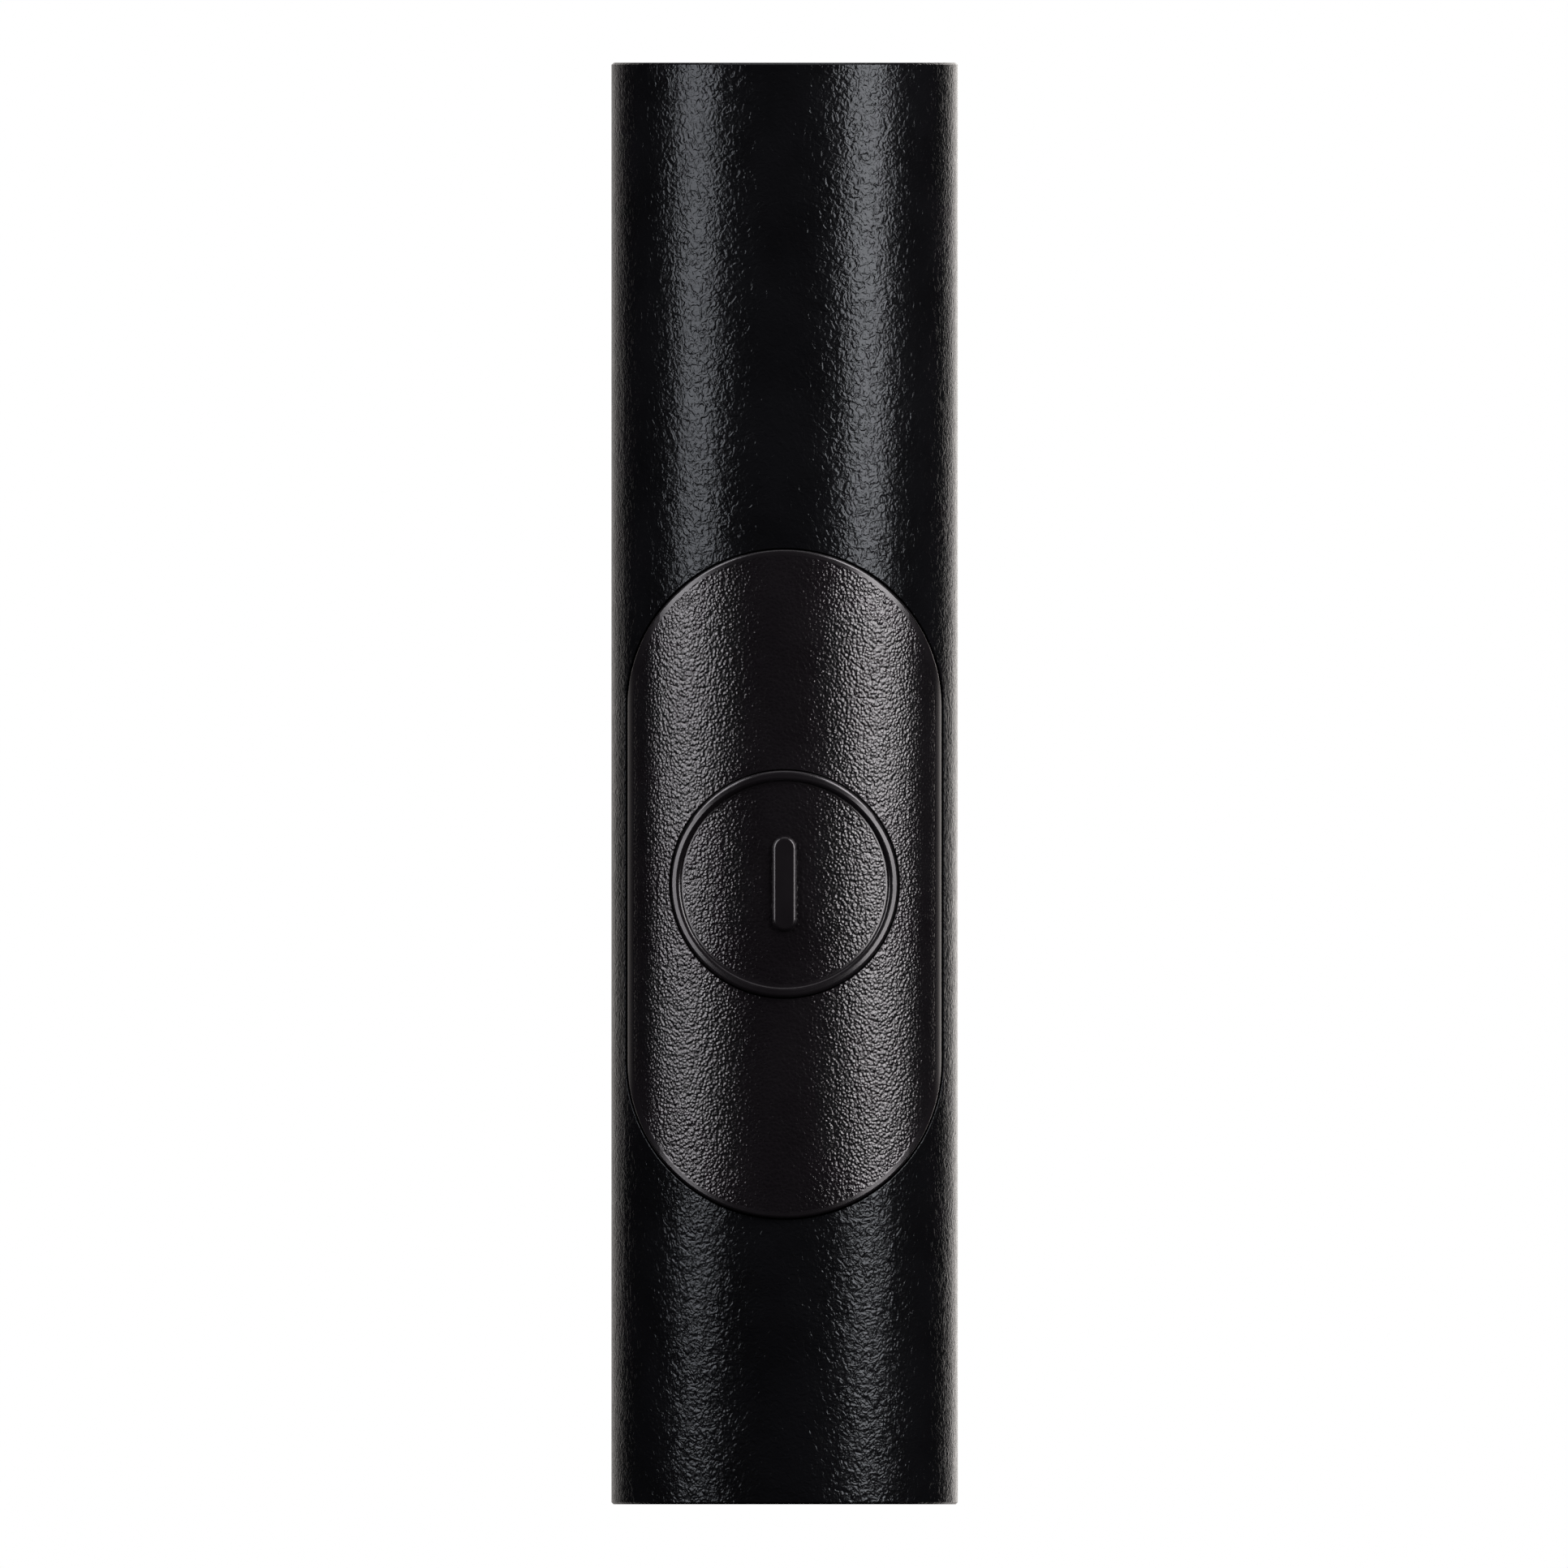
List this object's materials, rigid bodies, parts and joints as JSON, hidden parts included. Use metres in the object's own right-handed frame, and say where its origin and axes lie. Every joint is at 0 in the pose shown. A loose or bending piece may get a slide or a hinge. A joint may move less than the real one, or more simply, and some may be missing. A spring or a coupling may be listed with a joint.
{
  "type": "counterfeit detector pen",
  "caption": "Short black tube-shaped ultraviolet banknote checking light with an oval thumb switch plate, a round push button, a lens at the head and a screw-in tail cap.",
  "frame": {"origin": "centre of the tube's tail end face, on the tube's axis", "axes": "+Z along the tube from tail to head (the light leaves along +Z), -Y through the switch button, +Y through the pocket clip, +X to the right seen from the switch side"},
  "size_m": [0.02, 0.0232, 0.0832],
  "materials": {
    "barrel_coat": "black powder coat with a fine orange-peel grain",
    "plate_plastic": "black moulded plastic with a fine sparked texture",
    "button_plastic": "black moulded plastic, textured field, smoother raised marks",
    "spring_steel": "drawn wire, bright",
    "clip_steel": "gunmetal spring steel, brushed along its length",
    "screw_steel": "machined steel",
    "black_screw": "black oxide steel",
    "switch_case": "moulded switch case",
    "switch_stem": "natural nylon",
    "board_mask": "green solder mask on glass fibre",
    "ferrite": "dark ferrite",
    "chip_epoxy": "black epoxy",
    "capacitor_ceramic": "tan ceramic with tinned ends",
    "cradle_plastic": "dark grey glass-filled nylon",
    "cell_steel": "nickel-plated can",
    "cell_sleeve": "shrunk plastic film, plain grey with a light band",
    "contact_brass": "nickel-free brass strip",
    "wire_red": "silicone insulation",
    "wire_black": "silicone insulation",
    "bare_aluminium": "turned",
    "white_mask": "white solder mask on aluminium",
    "led_ceramic": "white ceramic with gold pads",
    "led_silicone": "clear silicone dome with a faint violet tint",
    "mirror_coat": "vacuum-metallised",
    "window_glass": "polished flat glass",
    "seal_rubber": "nitrile rubber",
    "anodised_black": "turned and black anodised"
  },
  "bodies": {
    "barrel": {"barrel": "barrel_coat", "switch_plate": "plate_plastic", "button_spring": "spring_steel", "switch_housing": "switch_case", "circuit_board": "board_mask", "boost_inductor": "ferrite", "driver_chip": "chip_epoxy", "board_passives": "capacitor_ceramic", "board_screws": "screw_steel", "ground_spring": "contact_brass", "cell_cradle": "cradle_plastic", "battery_can": "cell_steel", "battery_wrap": "cell_sleeve", "positive_contact": "contact_brass", "led_wire_red": "wire_red", "led_wire_black": "wire_black", "heat_sink": "bare_aluminium", "sink_screws": "screw_steel", "led_board": "white_mask", "led_board_screws": "screw_steel", "led_package": "led_ceramic", "led_dome": "led_silicone", "reflector": "mirror_coat", "lens": "window_glass", "lens_seal": "seal_rubber", "lens_ring": "anodised_black", "pocket_clip": "clip_steel", "clip_screws": "black_screw"},
    "button": {"power_button": "button_plastic", "switch_plunger": "switch_stem"},
    "tail_seal": {"tail_seal": "seal_rubber"},
    "tail_cap": {"tail_cap": "anodised_black", "contact_disc": "contact_brass", "tail_spring": "spring_steel"}
  },
  "joints": [
    {"name": "button_press", "type": "slide", "parent": "barrel", "child": "button", "axis": [0, 1, 0], "range_m": [0, 0.001], "stiffness_N_per_m": 1500, "springref_m": -0.0006, "deforming": ["button_spring"]},
    {"name": "cap_advance", "type": "slide", "parent": "barrel", "child": "tail_seal", "axis": [0, 0, -1], "range_m": [0, 0.005]},
    {"name": "cap_turn", "type": "hinge", "parent": "tail_seal", "child": "tail_cap", "pos_m": [0, 0, 0], "axis": [0, 0, 1], "range_deg": [0, 1800]}
  ],
  "couplings": [
    {"joint": "cap_turn", "follows": "cap_advance", "rad_per_m": 6283.2}
  ]
}
